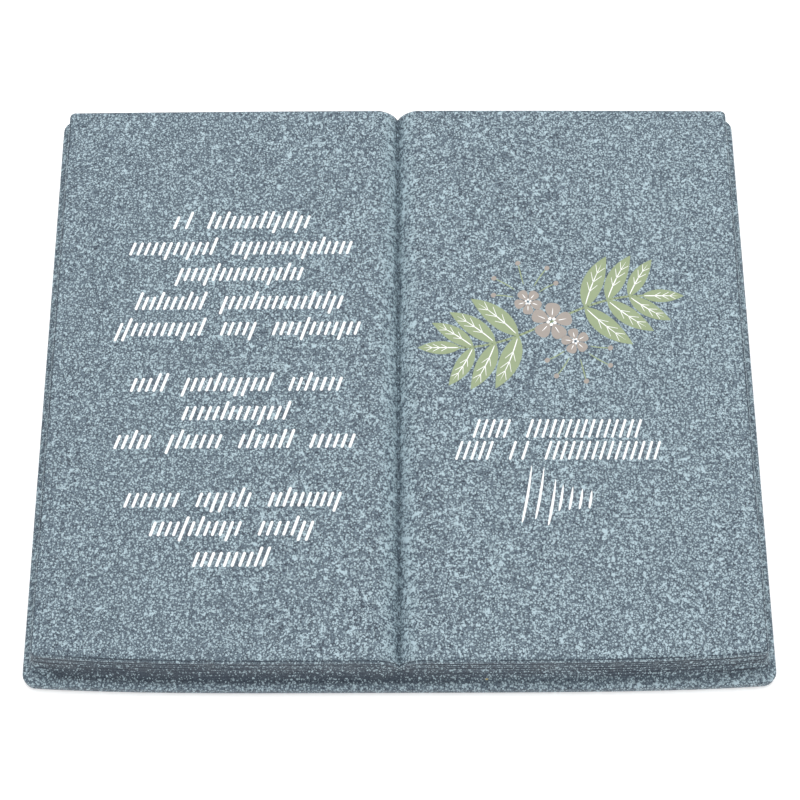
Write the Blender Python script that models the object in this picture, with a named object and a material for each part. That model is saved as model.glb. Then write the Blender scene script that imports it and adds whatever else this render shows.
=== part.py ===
"""Memorial plaque in the form of an open book, cast in one piece.

A cover board lies flat on its underside. A block of pages stands on it, set in from the board's edge on all
four sides, and its sides flare out towards the foot. A valley parts the left page from the right one, and the
sheets show as grooves round the block.

X runs across both pages, Y runs from the reader to the head of the page, Z is up, and the origin is the
centre of the underside. Every length is in metres.
"""

import math

import bmesh
import bpy

# Cover board
BOARD_WIDTH = 0.250
BOARD_DEPTH = 0.218
BOARD_THICKNESS = 0.0050
BOARD_FRONT_CORNER_RADIUS = 0.0040
BOARD_REAR_CORNER_RADIUS = 0.0044
BOARD_FRONT_BOW = 0.0021
BOARD_RIM_ROUNDING = 0.0014
BOARD_FOOT_ROUNDING = 0.0008

# Ledge of the board that shows beyond the foot of the block
LEDGE_AT_SIDES = 0.0022
LEDGE_AT_FRONT = 0.0030
LEDGE_AT_REAR = 0.0021

# Block of pages
BLOCK_HEIGHT = 0.0145
BLOCK_FLARE = 0.0023
BLOCK_CORNER_RADIUS = 0.0020
BLOCK_FRONT_BOW = 0.0030
BLOCK_FOOT_FILLET = 0.0006
PAGE_EDGE_ROUNDING = 0.0018
PAGE_OUTER_DROP = 0.0010

# Front edges of board and block: straight in the middle, and set back by a power of X towards the corners
FRONT_BOW_POWER = 4

# Valley between the two pages
VALLEY_DEPTH = 0.0065
VALLEY_HALF_WIDTH = 0.0068
VALLEY_BOTTOM_RADIUS = 0.00025
VALLEY_STEEPNESS = 1.3

# Grooves between the sheets, evenly spaced from the foot up. The top sheet is a share of the others' height
SHEET_GROOVES = 6
TOP_SHEET_SHARE = 0.5
GROOVE_WIDTH = 0.0007
GROOVE_DEPTH = 0.0005

# Points in each curved stretch
CORNER_FLATS = 6
ROUNDING_FLATS = 3
PAGE_FLATS = 7
VALLEY_MARKS = (0.0, 0.02, 0.07, 0.16, 0.30, 0.50, 0.74, 1.0)

STONE_COLOUR = (0.245, 0.315, 0.350, 1.0)
STONE_ROUGHNESS = 0.62

# Worked out from the sizes above
HALF_WIDTH = BOARD_WIDTH / 2
HALF_DEPTH = BOARD_DEPTH / 2
NARROWEST_LEDGE = min(LEDGE_AT_SIDES, LEDGE_AT_FRONT, LEDGE_AT_REAR)
FOOT_FILLET = min(BLOCK_FOOT_FILLET, NARROWEST_LEDGE / 3)
RIM_ROUNDING = min(BOARD_RIM_ROUNDING, NARROWEST_LEDGE - FOOT_FILLET, BOARD_THICKNESS / 2)
FOOT_ROUNDING = min(BOARD_FOOT_ROUNDING, BOARD_THICKNESS / 3)
EDGE_ROUNDING = min(PAGE_EDGE_ROUNDING, BLOCK_CORNER_RADIUS * 0.9)
WALL_FOOT = BOARD_THICKNESS + FOOT_FILLET
WALL_HEIGHT = BLOCK_HEIGHT - FOOT_FILLET - EDGE_ROUNDING
PAGE_HALF_WIDTH = HALF_WIDTH - LEDGE_AT_SIDES - BLOCK_FLARE


def quarter_turn(flats):
    """Angles from 0 to a right angle, one for each end of a flat."""
    return [math.pi / 2 * count / flats for count in range(flats + 1)]


def valley_share(x):
    """Share of the valley's depth at x: the shoulders round over, and the walls steepen towards the spine."""
    reach = math.hypot(x, VALLEY_BOTTOM_RADIUS) / VALLEY_HALF_WIDTH
    return max(0.0, 1.0 - math.sqrt(reach)) ** VALLEY_STEEPNESS


def page_height(x):
    """Height of the page at x: it falls a little to the outer edge, and into the valley at the spine."""
    outer = PAGE_OUTER_DROP * (x / PAGE_HALF_WIDTH) ** 2
    valley = VALLEY_DEPTH * valley_share(x) / valley_share(0.0)
    return BOARD_THICKNESS + BLOCK_HEIGHT - outer - valley


def straight_marks(straight_end):
    """X of every point along a straight stretch: close together in the valley, even over the pages."""
    valley = [VALLEY_HALF_WIDTH * mark for mark in VALLEY_MARKS]
    step = (straight_end - VALLEY_HALF_WIDTH) / PAGE_FLATS
    pages = [VALLEY_HALF_WIDTH + step * count for count in range(1, PAGE_FLATS)]
    right = valley + pages
    left = [-x for x in reversed(right) if x > 0]
    return left + right


def half_outline(side_inset, end_inset, corner_radius, bow):
    """Points from the left side round the front edge to the right side. The bow sets the corners back."""
    half_width = HALF_WIDTH - side_inset
    straight_end = half_width - corner_radius
    left = [(-straight_end - corner_radius * math.cos(turn), corner_radius * (1 - math.sin(turn)))
            for turn in quarter_turn(CORNER_FLATS)]
    middle = [(x, 0.0) for x in straight_marks(straight_end)]
    right = [(-x, rise) for x, rise in reversed(left)]
    edge = end_inset - HALF_DEPTH
    return [(x, edge + rise + bow * (x / half_width) ** FRONT_BOW_POWER) for x, rise in left + middle + right]


def add_ring(book, front, rear, height):
    """One closed ring of vertices from two half outlines. The rear one is turned over to face the head."""
    outline = front + [(x, -y) for x, y in reversed(rear)]
    return [book.verts.new((x, y, height(x))) for x, y in outline]


def board_ring(book, inset, z):
    """A level ring on the cover board's outline, moved in by inset."""
    front = half_outline(inset, inset, BOARD_FRONT_CORNER_RADIUS - inset, BOARD_FRONT_BOW)
    rear = half_outline(inset, inset, BOARD_REAR_CORNER_RADIUS - inset, 0.0)
    return add_ring(book, front, rear, lambda x: z)


def block_ring(book, inset, corner_radius, height):
    """A ring on the foot of the block of pages, moved in by inset."""
    front = half_outline(LEDGE_AT_SIDES + inset, LEDGE_AT_FRONT + inset, corner_radius, BLOCK_FRONT_BOW)
    rear = half_outline(LEDGE_AT_SIDES + inset, LEDGE_AT_REAR + inset, corner_radius, 0.0)
    return add_ring(book, front, rear, height)


def board_rings(book):
    """The cover board: a rounded foot, an upright edge and a rounded rim."""
    foot = [board_ring(book, FOOT_ROUNDING * (1 - math.sin(turn)), FOOT_ROUNDING * (1 - math.cos(turn)))
            for turn in quarter_turn(ROUNDING_FLATS)]
    rim_foot = BOARD_THICKNESS - RIM_ROUNDING
    rim = [board_ring(book, RIM_ROUNDING * (1 - math.cos(turn)), rim_foot + RIM_ROUNDING * math.sin(turn))
           for turn in quarter_turn(ROUNDING_FLATS)]
    return foot + rim


def foot_fillet_rings(book):
    """The hollow fillet where the block's side grows out of the board."""
    rings = []
    for turn in quarter_turn(ROUNDING_FLATS):
        inset = -FOOT_FILLET * (1 - math.sin(turn))
        z = BOARD_THICKNESS + FOOT_FILLET * (1 - math.cos(turn))
        rings.append(block_ring(book, inset, BLOCK_CORNER_RADIUS, lambda x, z=z: z))
    return rings


def wall_rings(book):
    """The block's side: it flares out towards the foot, with three rings for each groove between the sheets."""
    rings = []
    half_groove = GROOVE_WIDTH / 2 / WALL_HEIGHT
    for groove in range(1, SHEET_GROOVES + 1):
        middle = groove / (SHEET_GROOVES + TOP_SHEET_SHARE)
        for share, depth in ((middle - half_groove, 0.0), (middle, GROOVE_DEPTH), (middle + half_groove, 0.0)):
            inset = BLOCK_FLARE * (1 - (1 - share) ** 2) + depth

            def height(x, share=share):
                return WALL_FOOT + (page_height(x) - EDGE_ROUNDING - WALL_FOOT) * share

            rings.append(block_ring(book, inset, BLOCK_CORNER_RADIUS, height))
    return rings


def page_edge_rings(book):
    """The rounded edge where the block's side turns over into the page."""
    rings = []
    for turn in quarter_turn(ROUNDING_FLATS):
        run = EDGE_ROUNDING * (1 - math.cos(turn))
        drop = EDGE_ROUNDING * (1 - math.sin(turn))
        rings.append(block_ring(book, BLOCK_FLARE + run, BLOCK_CORNER_RADIUS - run,
                                lambda x, drop=drop: page_height(x) - drop))
    return rings


def join_rings(book, lower, upper):
    """A band of four-sided faces between two rings with the same number of points."""
    count = len(lower)
    for index in range(count):
        following = (index + 1) % count
        book.faces.new((lower[index], lower[following], upper[following], upper[index]))


def close_pages(book, ring):
    """The two pages: each point of the front half is joined to the rear point with the same X."""
    half = len(ring) // 2
    front = ring[:half]
    rear = ring[half:][::-1]
    for index in range(half - 1):
        book.faces.new((front[index], front[index + 1], rear[index + 1], rear[index]))


def make_plaque():
    """The whole casting, built as rings from the underside up to the pages."""
    book = bmesh.new()
    rings = board_rings(book) + foot_fillet_rings(book) + wall_rings(book) + page_edge_rings(book)
    for lower, upper in zip(rings, rings[1:]):
        join_rings(book, lower, upper)
    book.faces.new(rings[0][::-1])
    close_pages(book, rings[-1])
    mesh = bpy.data.meshes.new("open_book_plaque")
    book.to_mesh(mesh)
    book.free()
    mesh.shade_smooth()
    mesh.set_sharp_from_angle(angle=math.radians(40))
    plaque = bpy.data.objects.new("open_book_plaque", mesh)
    bpy.context.scene.collection.objects.link(plaque)
    return plaque


def stone_material():
    """Slate-grey casting with a spattered stone-effect coat, as one even colour."""
    stone = bpy.data.materials.new("speckled_stone")
    stone.use_nodes = True
    shader = stone.node_tree.nodes["Principled BSDF"]
    shader.inputs["Base Color"].default_value = STONE_COLOUR
    shader.inputs["Roughness"].default_value = STONE_ROUGHNESS
    shader.inputs["Metallic"].default_value = 0.0
    return stone


for thing in list(bpy.data.objects):
    bpy.data.objects.remove(thing)

plaque = make_plaque()
plaque.data.materials.append(stone_material())
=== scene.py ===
# %% [markdown]
# An open book, cast in speckled stone
#
# This lesson dresses one memorial plaque. The real one is a single casting of resin filled with stone powder:
# a cover board, a block of pages on it and a valley between the pages. It is sprayed slate grey, spattered
# with pale flecks, and then printed. The plain solid comes first, as a frame that must not move. Everything
# built here sits on it, in metres, with X across the pages, Y towards the head of the page and Z up.

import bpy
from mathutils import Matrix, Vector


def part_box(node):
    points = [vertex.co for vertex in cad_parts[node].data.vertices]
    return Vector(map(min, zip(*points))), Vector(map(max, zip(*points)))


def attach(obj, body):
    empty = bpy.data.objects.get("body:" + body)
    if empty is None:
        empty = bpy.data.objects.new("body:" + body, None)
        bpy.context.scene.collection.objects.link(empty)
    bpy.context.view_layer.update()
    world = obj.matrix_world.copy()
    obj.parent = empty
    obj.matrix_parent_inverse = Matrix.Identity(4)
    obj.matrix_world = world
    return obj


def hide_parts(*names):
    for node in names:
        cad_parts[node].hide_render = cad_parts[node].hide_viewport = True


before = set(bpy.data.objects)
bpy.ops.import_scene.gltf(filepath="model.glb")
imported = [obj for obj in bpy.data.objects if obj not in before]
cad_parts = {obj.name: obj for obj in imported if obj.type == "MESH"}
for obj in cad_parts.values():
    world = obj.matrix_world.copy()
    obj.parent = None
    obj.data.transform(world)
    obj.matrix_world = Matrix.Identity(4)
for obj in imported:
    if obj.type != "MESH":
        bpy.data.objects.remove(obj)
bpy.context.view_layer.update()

# %% The tools
import math

import bpy
import numpy as np
from mathutils import Matrix

MM = 0.001
print("numpy", np.__version__, "in Blender", bpy.app.version_string)

# %% [markdown]
# The camera
#
# The picture is taken from in front and well above, so the near edge of the book looks wider than the far
# one. A long lens from two thirds of a metre gives that mild perspective. A camera looks along its own minus
# Z, so its matrix is built from three directions: right, up and back. Making the camera first means that
# every later step can be judged in the right picture.

# %% Camera
CAMERA_PITCH = math.radians(67.02)
CAMERA_ROLL = math.radians(0.194)
CAMERA_DISTANCE = 668.2 * MM
CAMERA_TARGET = np.array([0.480, -3.140, 0.0]) * MM
SENSOR_WIDTH = 36.0
LENS = 84.93
CLIP_START = 0.01


def add_camera():
    """A camera at that distance from the target, pitched down and rolled about its line of sight."""
    forward = np.array([0.0, math.cos(CAMERA_PITCH), -math.sin(CAMERA_PITCH)])
    level = np.array([1.0, 0.0, 0.0])
    upright = np.cross(level, forward)
    right = level * math.cos(CAMERA_ROLL) - upright * math.sin(CAMERA_ROLL)
    up = level * math.sin(CAMERA_ROLL) + upright * math.cos(CAMERA_ROLL)
    place = Matrix.Identity(4)
    for column, direction in enumerate((right, up, -forward, CAMERA_TARGET - forward * CAMERA_DISTANCE)):
        place.col[column][:3] = direction
    camera = bpy.data.objects.new("camera", bpy.data.cameras.new("camera"))
    camera.data.sensor_width = SENSOR_WIDTH
    camera.data.lens = LENS
    camera.data.clip_start = CLIP_START
    camera.matrix_world = place
    bpy.context.scene.collection.objects.link(camera)
    bpy.context.scene.camera = camera
    return camera


camera = add_camera()
print("camera stands at, mm:", [round(1000 * c, 1) for c in camera.matrix_world.translation])

# %% [markdown]
# The sizes of the casting
#
# The overall width, depth and height come from the frame, so the dressed book can't grow out of it. The page
# lies lower than the frame's by less than a hair, which leaves room for the ink. The rest are the same
# driving sizes that the solid was made from: how far the board shows beyond the block, how the block's side
# flares to its foot, and how the edges are rounded.

# %% Sizes
low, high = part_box("open_book_plaque")
HALF_WIDTH = (high.x - low.x) / 2
HALF_DEPTH = (high.y - low.y) / 2
ROOM_FOR_INK = 0.05 * MM
TOTAL_HEIGHT = high.z - ROOM_FOR_INK

BOARD_THICKNESS = 5.0 * MM
BOARD_FRONT_CORNER = 4.0 * MM
BOARD_REAR_CORNER = 4.4 * MM
BOARD_FRONT_BOW = 2.1 * MM
RIM_ROUNDING = 1.4 * MM
FOOT_ROUNDING = 0.8 * MM

LEDGE_AT_SIDES = 2.2 * MM
LEDGE_AT_FRONT = 3.0 * MM
LEDGE_AT_REAR = 2.1 * MM

BLOCK_FLARE = 2.3 * MM
BLOCK_CORNER = 2.0 * MM
BLOCK_FRONT_BOW = 3.0 * MM
FOOT_FILLET = 0.6 * MM
EDGE_ROUNDING = 1.8 * MM
PAGE_OUTER_DROP = 1.0 * MM
FRONT_BOW_POWER = 4

WALL_FOOT = BOARD_THICKNESS + FOOT_FILLET
WALL_HEIGHT = TOTAL_HEIGHT - WALL_FOOT - EDGE_ROUNDING
PAGE_HALF_WIDTH = HALF_WIDTH - LEDGE_AT_SIDES - BLOCK_FLARE
print(f"block {(TOTAL_HEIGHT - BOARD_THICKNESS) / MM:.1f} mm high on a {BOARD_THICKNESS / MM:.1f} mm board")

# %% [markdown]
# The height of the page
#
# Seen from its end, the open book is a shallow arch on each side of a sharp valley. One formula of X gives
# it: the page falls with the square of the distance from the spine, and the valley is taken off that. The
# valley's share is one less the square root of the distance, so its shoulders round over and its walls
# steepen towards the spine. Everything that lies on the page, the ink too, takes its height from this
# function.

# %% Page height
VALLEY_DEPTH = 6.5 * MM
VALLEY_HALF_WIDTH = 6.8 * MM
VALLEY_BOTTOM_RADIUS = 0.25 * MM
VALLEY_STEEPNESS = 1.3


def valley_share(x):
    """Share of the valley's depth: (1 - the root of distance from the spine over half width) to a power."""
    reach = np.hypot(x, VALLEY_BOTTOM_RADIUS) / VALLEY_HALF_WIDTH
    return np.maximum(0.0, 1.0 - np.sqrt(reach)) ** VALLEY_STEEPNESS


def page_height(x):
    """Height of the page: the full height, less the square of x over the page's width, less the valley."""
    outer = PAGE_OUTER_DROP * (x / PAGE_HALF_WIDTH) ** 2
    return TOTAL_HEIGHT - outer - VALLEY_DEPTH * valley_share(x) / valley_share(0.0)


print("page height at the spine, the shoulder and the edge, mm:",
      np.round(1000 * page_height(np.array([0.0, VALLEY_HALF_WIDTH, PAGE_HALF_WIDTH])), 2))

# %% [markdown]
# Once round the book
#
# Every level of the book is the same walk: along the front, up the right side, back along the rear and down
# the left side, with a rounded corner each time. The walk is kept as four rows of numbers that fit any size:
# a share of the straight part across and along, from -1 to 1, and the direction that the edge faces. The
# second half of the walk is the first half turned by half a turn. The marks along the front are close
# together in the valley, where the surface bends most.

# %% The walk round the book
HALF_CORNER_FLATS = 4
VALLEY_FLATS = 20
VALLEY_CROWDING = 1.8
PAGE_FLATS = 64
SIDE_FLATS = 90


def stretch(share_x, share_y, facing_x, facing_y):
    """Four rows for one stretch of the walk, with single numbers repeated along it."""
    return np.stack(np.broadcast_arrays(share_x, share_y, facing_x, facing_y)).astype(float)


def corner(share_x, share_y, first, last):
    """Half a rounded corner, facing from the first angle to the last, in degrees."""
    turn = np.radians(np.linspace(first, last, HALF_CORNER_FLATS + 1))
    return stretch(share_x, share_y, np.cos(turn), np.sin(turn))


def marks_across():
    """Shares from -1 to 1: the distance grows as a power of the count in the valley, then evenly."""
    straight = PAGE_HALF_WIDTH - BLOCK_CORNER
    valley = VALLEY_HALF_WIDTH * np.linspace(0, 1, VALLEY_FLATS + 1) ** VALLEY_CROWDING
    pages = np.linspace(VALLEY_HALF_WIDTH, straight, PAGE_FLATS + 1)[1:]
    right = np.concatenate([valley, pages]) / straight
    return np.concatenate([-right[:0:-1], right])


across = marks_across()
along = np.linspace(-1, 1, SIDE_FLATS + 1)
front_row = np.concatenate([corner(-1, -1, 225, 270), stretch(across[1:-1], -1, 0, -1),
                            corner(1, -1, 270, 315)], axis=1)
right_side = np.concatenate([corner(1, -1, 315, 360)[:, 1:], stretch(1, along[1:-1], 1, 0),
                             corner(1, 1, 0, 45)[:, :-1]], axis=1)
half_walk = np.concatenate([front_row, right_side], axis=1)
SHARE_X, SHARE_Y, FACING_X, FACING_Y = np.concatenate([half_walk, -half_walk], axis=1)
TO_FRONT = (1 - SHARE_Y) / 2
WALK = len(SHARE_X)
ROW = front_row.shape[1]
print("points once round the book:", WALK)


# %% Carry the walk to a size
LEAST_CORNER = 0.3 * MM


def walk_at(side_inset, front_inset, rear_inset, front_corner, rear_corner, front_bow):
    """X and Y round the book. Each is the share times the straight part, plus the radius the way it faces.
    The front edge bows: it moves back by a power of X over the half width, so its middle stays straight."""
    corner_radius = front_corner * TO_FRONT + rear_corner * (1 - TO_FRONT)
    half_width = HALF_WIDTH - side_inset
    x = SHARE_X * (half_width - corner_radius) + FACING_X * corner_radius
    front = front_inset - HALF_DEPTH + corner_radius + front_bow * (x / half_width) ** FRONT_BOW_POWER
    rear = HALF_DEPTH - rear_inset - corner_radius
    return x, front * TO_FRONT + rear * (1 - TO_FRONT) + FACING_Y * corner_radius


def board_walk(inset):
    """The walk on the cover board's outline, moved in by each inset."""
    inset = np.asarray(inset)[:, None]
    return walk_at(inset, inset, inset, np.maximum(BOARD_FRONT_CORNER - inset, LEAST_CORNER),
                   np.maximum(BOARD_REAR_CORNER - inset, LEAST_CORNER), BOARD_FRONT_BOW)


def block_walk(inset, corner_radius):
    """The walk on the foot of the block of pages, moved in by each inset."""
    return walk_at(LEDGE_AT_SIDES + inset, LEDGE_AT_FRONT + inset, LEDGE_AT_REAR + inset,
                   corner_radius, corner_radius, BLOCK_FRONT_BOW)


edge_x, edge_y = board_walk([0.0])
steps = np.hypot(np.diff(edge_x[0], append=edge_x[0, 0]), np.diff(edge_y[0], append=edge_y[0, 0]))
ROUND_SHARE = np.cumsum(steps) / steps.sum()
print(f"the board measures {1000 * steps.sum():.0f} mm round its edge")

# %% [markdown]
# The cover board
#
# The board is carried as bands of the walk: flat underneath, a small rounding at the foot, an upright edge
# and a softer rounding at the rim. A rounding is a quarter turn, so its inset is the radius times one less
# the cosine, and its rise is the radius times the sine. Each band also keeps how bare it is: the spatter
# comes from above, so it thins out down the edge and stops under the board.

# %% Board bands
ROUNDING_FLATS = 5
QUARTER = np.linspace(0, math.pi / 2, ROUNDING_FLATS + 1)
UNDERSIDE_INSETS = np.array([14.0, 3.0]) * MM
BARE_UNDERSIDE = 2.0
BARE_BENEATH = 0.90
BARE_FOOT = 0.30
BARE_LIP = -0.10


def band(x, y, z, bare_and_shade):
    """One band of the book's skin: place and bareness, with painted shade, of each station, round the whole
    walk.
    """
    return np.stack(np.broadcast_arrays(x, y, z, bare_and_shade))


def board_bands():
    """From the middle of the underside out to the edge, up it, and in over the rim."""
    foot_inset = FOOT_ROUNDING * (1 - np.sin(QUARTER))
    foot_rise = FOOT_ROUNDING * (1 - np.cos(QUARTER))
    rim_inset = RIM_ROUNDING * (1 - np.cos(QUARTER))
    rim_rise = BOARD_THICKNESS - RIM_ROUNDING * (1 - np.sin(QUARTER))
    inset = np.concatenate([UNDERSIDE_INSETS, foot_inset, rim_inset])
    rise = np.concatenate([UNDERSIDE_INSETS * 0, foot_rise, rim_rise])
    bare_and_shade = np.concatenate([np.full(len(UNDERSIDE_INSETS), BARE_UNDERSIDE),
                           np.linspace(BARE_BENEATH, BARE_FOOT, len(foot_rise)),
                           np.linspace(BARE_FOOT / 2, BARE_LIP, len(rim_rise))])
    x, y = board_walk(inset)
    return band(x, y, rise[:, None], bare_and_shade[:, None])


board = board_bands()
print("board:", board.shape[1], "bands, edge to edge", round(1000 * float(np.ptp(board[0])), 2), "mm")

# %% [markdown]
# Lines that waver
#
# The sheet grooves of a casting were cut by hand in its model, so they run a little uneven and fade in
# places. A wavering line round the book is a sum of sine waves. Each makes a whole number of waves on the way
# round, so the line meets itself where the walk closes. The random numbers have a fixed seed, so the book is
# the same each time.


# %% Wavering lines
WAVES = 6
FEWEST_TURNS = 2


def waver(lines, most_turns, seed):
    """Uneven lines between -1 and 1, one to a row: sine waves with whole numbers of turns, added up."""
    random = np.random.default_rng(seed)
    turns = random.integers(FEWEST_TURNS, most_turns, size=(lines, WAVES, 1))
    start = random.random((lines, WAVES, 1))
    sums = np.sin(2 * math.pi * (turns * ROUND_SHARE + start)).sum(axis=1)
    return sums / np.abs(sums).max(axis=1, keepdims=True)


print("a wavering line's first values:", np.round(waver(1, 40, 7)[0, :4], 2))

# %% [markdown]
# The sheets
#
# The block's side has six cut grooves, with a finer hairline below each, so it reads as a stack of sheets.
# The rings of the mesh run along the grooves and waver with them, which keeps a groove sharp with few faces.
# A groove's section is one whole cosine wave, and its depth changes along the way. Heights are shares of the
# distance from the foot up to the page, so the lines dip with the valley, as the sheets of a book do.

# %% Groove table
SHEET_GROOVES = 6
TOP_SHEET_SHARE = 0.5
GROOVE_WIDTH = 0.7 * MM
GROOVE_DEPTH = 0.5 * MM
GROOVE_MARKS = np.array([-1, -0.6, -0.3, 0, 0.3, 0.6, 1])
HAIRLINE_WIDTH = 0.34 * MM
HAIRLINE_DEPTH = 0.14 * MM
HAIRLINE_MARKS = np.array([-1, -0.5, 0, 0.5, 1])
GROOVE_WAVER = 0.16 * MM


def groove_marks():
    """Shares of the wall's height where the rings run, and the middle of each groove and hairline."""
    grooves = np.arange(1, SHEET_GROOVES + 1) / (SHEET_GROOVES + TOP_SHEET_SHARE)
    hairlines = grooves - grooves[0] / 2
    at_grooves = grooves[:, None] + GROOVE_MARKS * GROOVE_WIDTH / 2 / WALL_HEIGHT
    at_hairlines = hairlines[:, None] + HAIRLINE_MARKS * HAIRLINE_WIDTH / 2 / WALL_HEIGHT
    rings = np.sort(np.concatenate([[0.0, 1.0], at_grooves.ravel(), at_hairlines.ravel()]))
    return rings, grooves, hairlines


def groove_section(rings, middles, width):
    """For each ring and groove: half of one plus a cosine, 1 in the middle and 0 past half the width."""
    away = np.abs(rings[:, None] - middles) * WALL_HEIGHT / (width / 2)
    return 0.5 + 0.5 * np.cos(math.pi * np.minimum(away, 1.0))


RINGS, GROOVES, HAIRLINES = groove_marks()
print(len(RINGS), "rings carry", len(GROOVES), "grooves and", len(HAIRLINES), "hairlines")


# %% How bare and shaded the wall is
# The wall is a little darker on its sides and more on the front: partly less spatter, partly painted shade.
BARE_AND_SHADE_WALL_SIDES = 0.05
BARE_AND_SHADE_SHARES = [0.0, 0.22, 0.45, 0.70, 1.0]
BARE_AND_SHADE_WALL_FRONT = [0.60, 0.62, 0.48, 0.25, 0.12]
BARE_AND_SHADE_LEDGE_FRONT = 0.50
CORNER_FADE = 9.0 * MM
# Less of both to the right: painted light from the right.
LESS_BARE_AND_SHADE_TO_RIGHT = 0.50
RIGHT_REACH = 30.0 * MM
FACING_FRONT = np.clip(-FACING_Y, 0, 1)


def front_shade_and_shelter(x):
    """How much of the front's bareness and painted shade a point takes: none at the corners, less to the
    right.
    """
    from_corner = np.clip((PAGE_HALF_WIDTH - np.abs(x)) / CORNER_FADE, 0, 1)
    return FACING_FRONT * from_corner * (1 - LESS_BARE_AND_SHADE_TO_RIGHT * np.clip(x / RIGHT_REACH, 0, 1))


print("bareness up the front wall:", BARE_AND_SHADE_WALL_FRONT)


# %% Block bands
GROOVE_STRENGTH = np.array([0.10, 0.25, 0.15, 0.35, 0.20, 1.10])[:, None]
GROOVE_FADING = 0.45
LEAST_GROOVE = 0.05
# Painted shade along each groove, as strong as the groove, kept with the bareness on the mesh.
GROOVE_SHADE = 2.2
SHADE_WIDTH = 1.7 * MM
HAIRLINE_STRENGTH = 0.4
HAIRLINE_FADING = 0.8
# Wavering lines: how many, the most turns and the seed
GROOVE_WAVES = (SHEET_GROOVES, 36, 11)
HAIRLINE_WAVES = (SHEET_GROOVES, 70, 12)
DRIFT_WAVES = (SHEET_GROOVES, 30, 13)


def fillet_bands():
    """The hollow at the block's foot: a quarter turn that starts flat on the board."""
    inset = -FOOT_FILLET * (1 - np.sin(QUARTER[:-1, None]))
    rise = BOARD_THICKNESS + FOOT_FILLET * (1 - np.cos(QUARTER[:-1, None]))
    x, y = block_walk(inset, BLOCK_CORNER)
    way_up = np.linspace(0, 1, ROUNDING_FLATS)[:, None]
    # The front of the hollow is darker: less spatter and painted shade.
    front = BARE_AND_SHADE_LEDGE_FRONT + (BARE_AND_SHADE_WALL_FRONT[0] - BARE_AND_SHADE_LEDGE_FRONT) * way_up
    return band(x, y, rise, BARE_AND_SHADE_WALL_SIDES + (front - BARE_AND_SHADE_WALL_SIDES) * front_shade_and_shelter(x))


def wall_bands():
    """The flared side. Its inset is the flare times one less the square of the way still to climb."""
    share = RINGS[:, None]
    strength = np.clip(GROOVE_STRENGTH + GROOVE_FADING * waver(*GROOVE_WAVES), LEAST_GROOVE, 1.0)
    fine = HAIRLINE_DEPTH * np.clip(HAIRLINE_STRENGTH + HAIRLINE_FADING * waver(*HAIRLINE_WAVES), 0, 1)
    cut = groove_section(RINGS, GROOVES, GROOVE_WIDTH)
    scratch = groove_section(RINGS, HAIRLINES, HAIRLINE_WIDTH)
    inset = BLOCK_FLARE * (1 - (1 - share) ** 2) + cut @ (GROOVE_DEPTH * strength) + scratch @ fine
    x, y = block_walk(inset, BLOCK_CORNER)
    anchors = np.concatenate([[0.0], GROOVES, [1.0]])
    pull = np.stack([np.interp(RINGS, anchors, row) for row in np.eye(len(anchors))], axis=1)
    drift = np.zeros((len(anchors), WALK))
    drift[1:-1] = GROOVE_WAVER * waver(*DRIFT_WAVES)
    z = WALL_FOOT + (page_height(x) - EDGE_ROUNDING - WALL_FOOT) * share + pull @ drift
    # Up the front wall: less spatter and painted shade, by the shares above.
    front = np.interp(share, BARE_AND_SHADE_SHARES, BARE_AND_SHADE_WALL_FRONT)
    bare_and_shade = BARE_AND_SHADE_WALL_SIDES + (front - BARE_AND_SHADE_WALL_SIDES) * front_shade_and_shelter(x)
    # Each groove adds painted shade along its cut.
    return band(x, y, z, bare_and_shade + GROOVE_SHADE * groove_section(RINGS, GROOVES, SHADE_WIDTH) @ strength)


# %% Page edge bands
EDGE_TURNS = np.radians([12, 24, 34, 43, 50, 57, 66, 77, 90])[:, None]
EDGE_LINE_TURN = math.radians(50)
EDGE_LINE_WIDTH = 0.55 * MM
EDGE_LINE_DEPTH = 0.20 * MM
EDGE_LINE_STRENGTH = 0.75
EDGE_LINE_FADING = 0.75
EDGE_LINE_WAVES = (1, 30, 14)
PAGE_EDGE_SHADE = 0.05


def page_edge_bands():
    """The rounding where the side turns over into the page, with one more sheet line on it."""
    away = np.abs(EDGE_TURNS - EDGE_LINE_TURN) * EDGE_ROUNDING / (EDGE_LINE_WIDTH / 2)
    line = 0.5 + 0.5 * np.cos(math.pi * np.minimum(away, 1.0))
    strength = np.clip(EDGE_LINE_STRENGTH + EDGE_LINE_FADING * waver(*EDGE_LINE_WAVES), 0.0, 1.0) * line
    cut = EDGE_LINE_DEPTH * strength
    run = EDGE_ROUNDING * (1 - np.cos(EDGE_TURNS)) + cut * np.cos(EDGE_TURNS)
    drop = EDGE_ROUNDING * (1 - np.sin(EDGE_TURNS)) + cut * np.sin(EDGE_TURNS)
    x, y = block_walk(BLOCK_FLARE + run, BLOCK_CORNER - run)
    # Painted shade on the front of the rounding, and along its sheet line.
    bare_and_shade = PAGE_EDGE_SHADE * np.cos(EDGE_TURNS) * FACING_FRONT
    return band(x, y, page_height(x) - drop, bare_and_shade + GROOVE_SHADE * strength)


block = np.concatenate([fillet_bands(), wall_bands(), page_edge_bands()], axis=1)
print("block:", block.shape[1], "bands, top at", round(1000 * float(block[2].max()), 2), "mm")

# %% [markdown]
# The pages and the whole skin
#
# The last band is the rim of the two pages. The inside is filled by a grid of the same marks: each inner
# point is blended from the four sides of the rim, which is called a Coons patch, and then lifted to the
# page's height. The grid shares its outer points with the last band, so there is no seam. Bands and grid
# together are one closed skin, and a single many-sided face closes the flat underside.


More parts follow.
